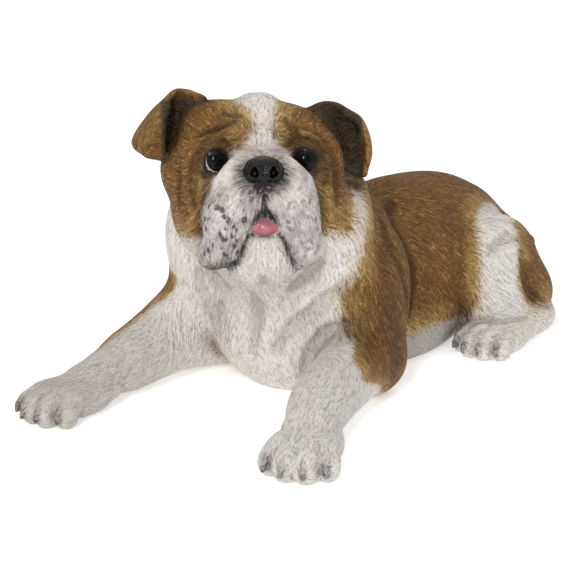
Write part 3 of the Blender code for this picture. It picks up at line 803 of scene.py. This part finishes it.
def painted_coat():
    """Coat paint: brown and white patches that feather along the hair, combed hair strokes with a dark
    wash between them, painted shade in the creases, hollows and mouth, and the gloss nose, tongue and eye
    rims."""
    m = Maker("painted coat")
    place = m.node("ShaderNodeTexCoord").outputs["Object"]
    wave = m.node("ShaderNodeTexNoise", {"noise_dimensions": "3D"},
                  {"Vector": place, "Scale": 170.0, "Detail": 1.0})
    bend = m.vector("SUBTRACT", wave.outputs["Color"], (0.5, 0.5, 0.5))
    flow = m.vector("ADD", m.attribute("hair").outputs["Vector"], m.vector("SCALE", bend, scale=1.7))
    fine = combed(m, place, flow, 980.0, 0.0007, 6, 4.4)
    strokes = combed(m, place, flow, 600.0, 0.0011, 6, 4.2)
    locks = combed(m, place, flow, 190.0, 0.0036, 4, 3.0)
    hair = (fine * 0.5 + strokes * 0.5 - 0.5) * 1.5 + 0.5
    hair = hair.clamp()
    cloud = m.noise(place, 26.0, 3.0, 0.6)
    mottle = m.noise(place, 95.0, 3.0, 0.6)
    level = {name: m.value(m.attribute(name).outputs["Fac"]) for name in (
        "brown", "hollow", "fold", "deep", "ear", "pads", "spots", "shade", "tongue", "nose", "rims", "greyed_and_shaded")}
    feather = level["brown"] + (hair - 0.5) * 3.6 + (locks - 0.5) * 3.4
    brown = 1.0 - feather.ramp(-4.0, 4.5)
    inside = 1.0 - (level["brown"] + (locks - 0.5) * 9.0).ramp(-19.0, -3.0)
    # brown coat: ginger near its edge, deeper inside it, dark between the strokes
    tan = m.mix(inside, (0.60, 0.385, 0.145), (0.260, 0.120, 0.032))
    tan = m.mix((cloud - 0.40).clamp() * 2.2, tan, (0.155, 0.066, 0.020))
    tan = m.mix((locks - 0.35).clamp() * 0.5, tan, (0.33, 0.178, 0.052))
    tan = m.mix((1.0 - hair) * 0.80, tan, (0.042, 0.018, 0.006))
    tan = m.mix(hair.ramp(0.60, 1.0) * 0.40, tan, (0.54, 0.33, 0.12))
    # white coat: warm white strokes over a grey-brown wash
    white = m.mix((mottle - 0.42).clamp() * 1.1, (0.79, 0.76, 0.72), (0.66, 0.60, 0.555))
    white = m.mix((1.0 - level["brown"].ramp(-2.0, 10.0)) * 0.62, white, (0.70, 0.565, 0.385))
    # white greyed down the forelegs, darker along the belly's edge, with a painted shadow on the collar under
    # the head
    white = m.mix(level["greyed_and_shaded"], white, (0.30, 0.265, 0.235))
    white = m.mix((1.0 - hair).ramp(0.30, 1.0) * 0.56, white, (0.235, 0.195, 0.165))
    white = m.mix((1.0 - locks).ramp(0.3, 1.0) * 0.14, white, (0.46, 0.41, 0.365))
    colour = m.mix(brown, white, tan)
    # painted shade: darker in broad recesses, in folds and in tight hollows
    deep_shade_colour = m.mix(brown, (0.30, 0.255, 0.22), (0.050, 0.021, 0.007))
    colour = m.mix(level["deep"] * (brown * 0.47 + 0.08), colour, deep_shade_colour)
    fold_shade_colour = m.mix(brown, (0.22, 0.18, 0.155), (0.040, 0.017, 0.006))
    colour = m.mix(level["fold"] * (brown * 0.20 + 0.40), colour, fold_shade_colour)
    colour = m.mix(level["hollow"] * 0.75, colour, m.mix(brown, (0.085, 0.068, 0.058), (0.018, 0.009, 0.004)))
    # ears, muzzle, nose, tongue and eye rims
    # the ears' insides dark, with painted shade in the hollow behind the right ear's flap
    colour = m.mix(level["ear"], colour, m.mix(hair * 0.8, (0.018, 0.012, 0.006), (0.105, 0.072, 0.040)))
    lilac = m.mix((mottle - 0.36).clamp() * 2.8, (0.66, 0.605, 0.58), (0.27, 0.23, 0.22))
    lilac = m.mix((1.0 - hair).ramp(0.2, 1.0) * (level["spots"] * 0.45 + 0.20), lilac, (0.17, 0.145, 0.138))
    colour = m.mix(level["pads"] * 0.85, colour, lilac)
    warped = m.vector("ADD", place, m.vector("SCALE", bend, scale=0.004))
    cells = m.node("ShaderNodeTexVoronoi", {"feature": "F1"},
                   {"Vector": warped, "Scale": 165.0, "Randomness": 0.85})
    patchy = m.noise(place, 70.0, 1.0, 0.5)
    spot = 1.0 - (m.value(cells.outputs["Distance"]) + (hair - 0.5) * 0.26).ramp(0.16, 0.46)
    spot = spot * patchy.ramp(0.34, 0.46) * level["spots"]
    colour = m.mix(spot * 0.85, colour, (0.050, 0.038, 0.036))
    tongue = 1.0 - level["tongue"].ramp(0.4, 1.0)
    pink = m.mix(mottle.ramp(0.35, 0.65), (0.33, 0.105, 0.125), (0.52, 0.20, 0.22))
    colour = m.mix(tongue, colour, pink)
    # painted shade of the nose, mouth and flews and between the toes, and dark paint round the claws, broken
    # by the hair
    dark = (level["shade"] + (0.5 - hair) * 0.5 * level["shade"].ramp(0.02, 0.3) * (1.0 - tongue)).clamp()
    colour = m.mix(dark, colour, (0.018, 0.014, 0.013))
    nose = 1.0 - level["nose"].ramp(0.5, 1.5)
    colour = m.mix(nose, colour, (0.0040, 0.0038, 0.0038))
    rims = 1.0 - level["rims"].ramp(-0.3, 1.5)
    # dark lid paint spreading into painted shade round each eye socket
    lid_paint_and_socket_shade = (1.0 - level["rims"].ramp(-1.0, 6.5)) * 0.72
    colour = m.mix(lid_paint_and_socket_shade, colour, (0.022, 0.015, 0.009))
    colour = m.mix(rims, colour, (0.010, 0.008, 0.007))
    m.put(m.shader.inputs["Base Color"], colour)
    gloss = (nose + tongue + rims * 0.8).clamp()
    rough = 0.66 - 0.14 * hair + 0.1 * level["hollow"]
    m.put(m.shader.inputs["Roughness"], rough * (1.0 - gloss) + gloss * 0.20)
    m.put(m.shader.inputs["Coat Weight"], gloss * 0.18)
    m.shader.inputs["Coat Roughness"].default_value = 0.09
    leather = m.node("ShaderNodeTexVoronoi", {"feature": "F1"}, {"Vector": place, "Scale": 800.0})
    smooth = level["pads"] * (1.0 - level["spots"]) * 0.55
    relief = (hair * 1.0 + locks * 1.1) * (1.0 - gloss) * (1.0 - smooth)
    relief = relief + m.value(leather.outputs["Distance"]) * nose * 0.30
    bump = m.node("ShaderNodeBump", None, {"Strength": 0.9, "Distance": 0.0013, "Height": relief})
    m.put(m.shader.inputs["Normal"], bump.outputs[0])
    m.shader.inputs["Specular IOR Level"].default_value = 0.14
    return m.material


def eye_gloss():
    """Dark glass eye: a near black iris and pupil, then a pale crescent of the white at its edge."""
    m = Maker("gloss eye")
    away = m.value(m.attribute("pupil").outputs["Fac"])
    place = m.node("ShaderNodeTexCoord").outputs["Object"]
    streak = m.noise(place, 900.0, 2.0, 0.6)
    iris = m.mix(streak, (0.004, 0.003, 0.003), (0.013, 0.009, 0.007))
    colour = m.mix(away.ramp(0.40, 0.46), (0.0015, 0.0015, 0.0015), iris)
    colour = m.mix(away.ramp(0.66, 0.72), colour, (0.0015, 0.0015, 0.0015))
    colour = m.mix(away.ramp(0.755, 0.80), colour, (0.36, 0.33, 0.31))
    m.put(m.shader.inputs["Base Color"], colour)
    m.shader.inputs["Roughness"].default_value = 0.05
    m.shader.inputs["Specular IOR Level"].default_value = 0.11
    return m.material


def made(name, points, faces, attributes, material):
    """A mesh object at the origin, smooth, with one attribute for each entry."""
    mesh = bpy.data.meshes.new(name)
    mesh.from_pydata(points, [], faces)
    for key, values in attributes.items():
        kind = "FLOAT_VECTOR" if values.ndim == 2 else "FLOAT"
        layer = mesh.attributes.new(key, kind, "POINT")
        field = "vector" if values.ndim == 2 else "value"
        layer.data.foreach_set(field, values.astype(np.float32).ravel())
    mesh.shade_smooth()
    mesh.materials.append(material)
    thing = bpy.data.objects.new(name, mesh)
    bpy.context.scene.collection.objects.link(thing)
    return thing


def coat_attributes(points, normals):
    """Everything the coat's paint reads, painted shade among it, worked out at each point of the skin."""
    left, front, up = ((points - HEAD.origin) @ HEAD.axes).T
    # painted shade: how shut in each point is at three reaches darkens folds, tight hollows and broad
    # recesses such as under the head and between the legs
    fold = ramp(shape(points + 5.5 * normals) / 5.5, 0.92, 0.40)
    hollow = ramp(shape(points + 2.5 * normals) / 2.5, 0.8, 0.15)
    deep = ramp(shape(points + 21 * normals) / 21, 0.95, 0.35)
    # a broad band of painted shade behind the left shoulder and elbow
    elbow_shade = Clay(points)
    elbow = [(76, 24, 120, 2), (79, 34, 101, 5), (83, 34, 79, 7), (84, 26, 54, 8), (87, 26, 32, 8)]
    elbow_shade.stroke(FORE, elbow, 1)
    deep = np.minimum(deep + 0.9 * ramp(elbow_shade.distance, 9, -5), 1.4)
    pads = Clay(points)
    muzzle_pads(pads)
    on_pads = ramp(pads.distance, 3, 1.2) * ramp(front, 26, 34)
    spots = on_pads * ramp(up, -2, -12) * np.where(left < 0, 1.0, 0.6) * ramp(np.abs(left - 1), 4, 10)
    leather, mouth, jaw, tip = Clay(points), Clay(points), Clay(points), Clay(points)
    nose(leather)
    mouth.stroke(HEAD, MOUTH, 3)
    chin(jaw)
    tongue(tip)
    # painted shade round the nose and down the groove under it, in the mouth's opening, along the lip lines,
    # under the flews and over the back of the tongue
    bridge = ramp(leather.distance, 12, 1.5) * (0.45 + 0.55 * ramp(up, 13, 4))
    middle = np.abs(left - 0.6)
    philtrum = (ramp(middle, 2.4, 0.6) + 0.5 * ramp(middle, 9, 1)) * ramp(up, 4, -4) * ramp(up, -25, -19)
    slit = ramp(mouth.distance, 4.2, 0.8) * ramp(jaw.distance, 0.6, 1.8) * ramp(tip.distance, 0.6, 1.4)
    seam = ramp(np.maximum(pads.distance, jaw.distance), 3.6, 0.8) * ramp(up, -30, -36)
    seam = seam * ramp(mouth.distance, 16, 8) + 0.55 * seam * ramp(mouth.distance, 8, 16)
    rise = normals @ HEAD.axes[:, 2]
    hem = ramp(pads.distance, 6, 1.4) * ramp(pads.distance, 0.2, 0.9)
    hem = np.maximum(hem, ramp(pads.distance, 1.5, 0.5) * ramp(rise, -0.45, -0.9))
    hem = hem * ramp(up, -46, -56) * np.where(left > 6, 0.4, 0.9)
    throat = 0.55 * ramp(tip.distance, 1.4, 0.8) * ramp(up, -33.5, -26)
    shade = 0.85 * bridge + 0.9 * philtrum * ramp(front, 50, 56) + 0.95 * slit * ramp(front, 34, 44)
    shade = shade + throat + 0.9 * np.maximum(seam, hem) * ramp(tip.distance, 0.6, 1.4)
    shade = np.clip(shade, 0, 0.97) * (front > 24) + claw_paint_and_toe_shade(points)
    eyes = np.full(len(points), 99.0)
    for side in (-1, 1):
        eyes = np.minimum(eyes, np.linalg.norm(points - eye_frame(side).origin, axis=1))
    right_ear, left_ear = Clay(points), Clay(points)
    right_ear.sheet(HEAD, RIGHT_EAR, EAR_HALF)
    left_ear.sheet(HEAD, LEFT_EAR, EAR_HALF)
    facing = normals @ HEAD.axes[:, 1]
    # painted shade round the right ear
    deep = np.minimum(deep + 0.55 * ramp(right_ear.distance, 4, 1), 1.4)
    ear = ramp(left_ear.distance, 1.4, 0.4) * ramp(facing, -0.1, 0.4) * ramp(left, 76, 73)
    # painted shade in the hollow behind the right ear's flap
    inner = ramp(left, -69, -66) * ramp(up, 54, 50) * ramp(facing, -0.3, 0.2)
    ear = ear + ramp(right_ear.distance, 3, 0.6) * inner
    return {
        "hair": hair_flow(points, normals), "brown": brown_edge(points), "fold": fold, "hollow": hollow,
        "deep": deep, "pads": on_pads, "spots": spots, "shade": shade,
        "tongue": tip.distance, "nose": leather.distance, "rims": eyes - 10.6, "ear": np.clip(ear, 0, 1),
        "greyed_and_shaded": greyed_and_shaded(points),
    }


def statue_skin():
    """The fine skin of the statue: a surface net on the grid and two settling steps, with its normals."""
    low = np.array([-150.0, -225.0, -3 * CELL])
    high = np.array([165.0, 335.0, 262.0])
    points, quads = skin(distance_grid(low, high, CELL), low, CELL)
    for _ in range(2):
        slope = slope_of(shape, points)
        move = shape(points)[:, None] * slope / np.maximum((slope**2).sum(1), 0.3)[:, None]
        points = points - np.clip(move, -0.8, 0.8)
    normals = unit(slope_of(shape, points, 0.8))
    return points, quads, normals


def to_row(points, centre):
    """Drawing places in metres, about a centre."""
    return (points - centre) * UNIT


def eyeball():
    """A ball of EYE_RADIUS: each point is (sin b cos a, cos b, sin b sin a), a round its front and b down
    from it, with one point at each pole. Quads join the rings, and triangles close the poles."""
    around, rings = 48, 31
    angle, fall = np.meshgrid(np.linspace(0, 2 * np.pi, around + 1)[:-1],
                              np.linspace(0, np.pi, rings + 2)[1:-1])
    belt = np.stack([np.sin(fall) * np.cos(angle), np.cos(fall), np.sin(fall) * np.sin(angle)], -1)
    ball = np.concatenate([[[0, 1, 0]], belt.reshape(-1, 3), [[0, -1, 0]]]) * EYE_RADIUS
    across = np.arange(around)
    ahead = (across + 1) % around
    rows = 1 + around * np.arange(rings - 1)[:, None]
    sides = np.stack([rows + across, rows + ahead, rows + around + ahead, rows + around + across], -1)
    front = [(0, 1 + b, 1 + a) for a, b in zip(across, ahead)]
    last = 1 + around * (rings - 1)
    rear = [(len(ball) - 1, last + a, last + b) for a, b in zip(across, ahead)]
    return ball, [tuple(face) for face in sides.reshape(-1, 4).tolist()] + front + rear


def pupil(ball, side):
    """Distance of each point of the eyeball from the axis of its gaze, over the iris's reach, and one
    more behind the centre. The right eye looks a little inwards and up, and shows its white."""
    gaze = unit(np.array([[0.10, 1, 0.07]] if side < 0 else [[0, 1, 0]]))[0]
    reach = EYE_RADIUS if side < 0 else 10.8
    ahead = ball @ gaze
    return np.linalg.norm(ball - ahead[:, None] * gaze, axis=1) / reach + (ahead < 0)


points, quads, normals = statue_skin()
centre = (points.min(0) + points.max(0)) / 2
centre[2] = 0
low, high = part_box("bulldog")
place = centre - np.array([low[0] + high[0], low[1] + high[1], 0]) / 2 / UNIT

coat = made("statue", to_row(points, place), quads, coat_attributes(points, normals), painted_coat())
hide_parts("bulldog")
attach(coat, "root")

glass = eye_gloss()
for side, name in ((-1, "eye_right"), (1, "eye_left")):
    ball, faces = eyeball()
    socketed = to_row(eye_frame(side).points(ball), place)
    eye_piece = made(name, socketed, faces, {"pupil": pupil(ball, side)}, glass)
    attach(eye_piece, "root")

# floor, light and camera
floor_points = [(x * FLOOR_HALF, y * FLOOR_HALF, 0) for x, y in ((-1, -1), (1, -1), (1, 1), (-1, 1))]
floor_maker = Maker("floor")
floor_maker.shader.inputs["Base Color"].default_value = (0.9, 0.9, 0.9, 1)
floor_maker.shader.inputs["Roughness"].default_value = 0.95
floor_maker.shader.inputs["Specular IOR Level"].default_value = 0.1
floor_maker.shader.inputs["Emission Color"].default_value = (1, 1, 1, 1)
floor_maker.shader.inputs["Emission Strength"].default_value = 0.42
floor = made("floor", floor_points, [(0, 1, 2, 3)], {}, floor_maker.material)

world = bpy.data.worlds.new("studio")
world.use_nodes = True
world.node_tree.nodes["Background"].inputs[0].default_value = (1, 1, 1, 1)
world.node_tree.nodes["Background"].inputs[1].default_value = 0.66
bpy.context.scene.world = world
bpy.context.scene.view_settings.view_transform = "Standard"


def softbox(name, location, aim, size, power):
    """A rectangular area light at a place, facing a point, with its size in metres and its power in watts."""
    light = bpy.data.lights.new(name, "AREA")
    light.shape = "RECTANGLE"
    light.size, light.size_y = size
    light.energy = power
    thing = bpy.data.objects.new(name, light)
    thing.location = location
    away = np.array(location) - np.array(aim)
    tilt = math.atan2(math.hypot(away[0], away[1]), away[2])
    thing.rotation_euler = (tilt, 0, math.atan2(away[0], -away[1]))
    bpy.context.scene.collection.objects.link(thing)


AIM = (0.0, -0.05, 0.10)
softbox("key", (0.80, -1.70, 1.10), AIM, (0.25, 0.8), 19)
softbox("top", (0.1, -0.5, 1.7), AIM, (1.2, 1.2), 5)

TARGET = (np.array([0, 0, 75.0]) - place) * UNIT
AZIMUTH, ELEVATION, DISTANCE = math.radians(38), math.radians(15), 1200 * UNIT
level_way = math.cos(ELEVATION)
back = np.array([math.sin(AZIMUTH) * level_way, -math.cos(AZIMUTH) * level_way, math.sin(ELEVATION)])
lens = bpy.data.cameras.new("camera")
lens.lens = 100.5
lens.sensor_width = 36
camera = bpy.data.objects.new("camera", lens)
camera.location = TARGET + back * DISTANCE
camera.rotation_euler = (math.pi / 2 - ELEVATION, 0, AZIMUTH)
bpy.context.scene.collection.objects.link(camera)
bpy.context.scene.camera = camera
